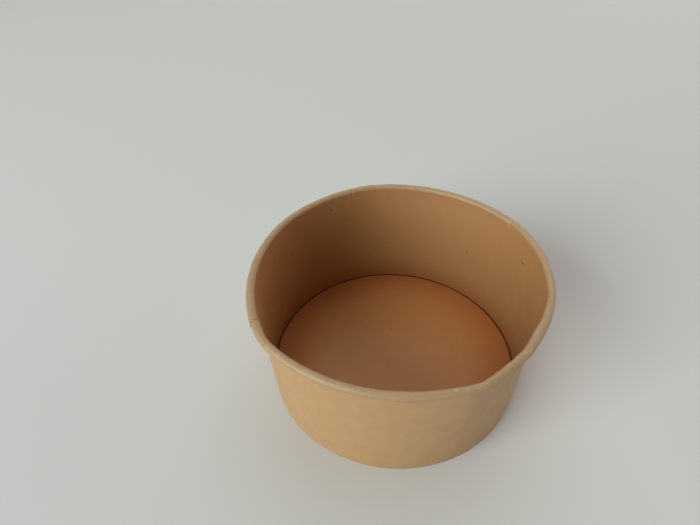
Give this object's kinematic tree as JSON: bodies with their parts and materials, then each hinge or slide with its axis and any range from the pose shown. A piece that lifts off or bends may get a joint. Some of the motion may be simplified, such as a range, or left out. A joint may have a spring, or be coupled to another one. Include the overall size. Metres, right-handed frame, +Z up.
{
  "type": "paper bowl",
  "caption": "Round kraft-paper food bowl with a rolled rim, a slightly tapered wall, a recessed floor and a rim bent by handling.",
  "frame": {"origin": "on the table, at the middle of the foot", "axes": "+Z up, along the bowl's axis; -Y is the side that faces the picture's camera"},
  "size_m": [0.147, 0.1516, 0.0716],
  "materials": {
    "kraft_wall": "brown kraft board with a thin satin coating",
    "kraft_floor": "brown kraft board with a thin satin coating"
  },
  "bodies": {
    "root": {"side_wall": "kraft_wall", "bottom_disc": "kraft_floor"}
  },
  "joints": []
}
